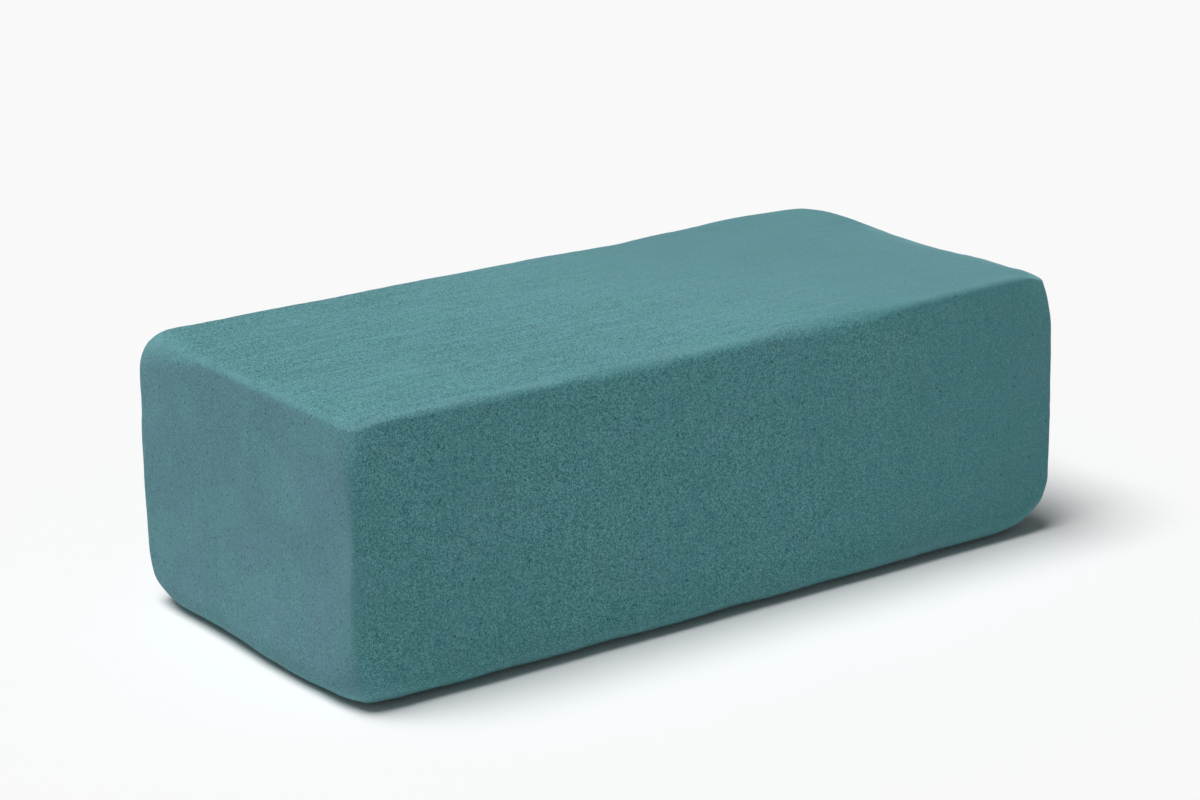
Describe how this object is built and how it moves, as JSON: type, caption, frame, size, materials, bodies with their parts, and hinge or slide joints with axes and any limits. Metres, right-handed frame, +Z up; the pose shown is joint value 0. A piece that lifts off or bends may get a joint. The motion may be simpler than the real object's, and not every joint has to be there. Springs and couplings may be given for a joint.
{
  "type": "floral foam brick",
  "caption": "Solid rectangular block of rigid green floral foam with rounded edges, which holds water and cut flower stems.",
  "frame": {"origin": "centre of the base, on the surface that the brick lies on", "axes": "+Z up, through the brick's shortest side; X along the length; Y across the width, with the long face that is seen first at -Y"},
  "size_m": [0.229, 0.108, 0.076],
  "materials": {
    "phenolic_foam": "dry open-cell phenolic foam, fully matt, finely pitted, powdery and paler where the edges are rubbed"
  },
  "bodies": {
    "root": {"foam_brick": "phenolic_foam"}
  },
  "joints": []
}
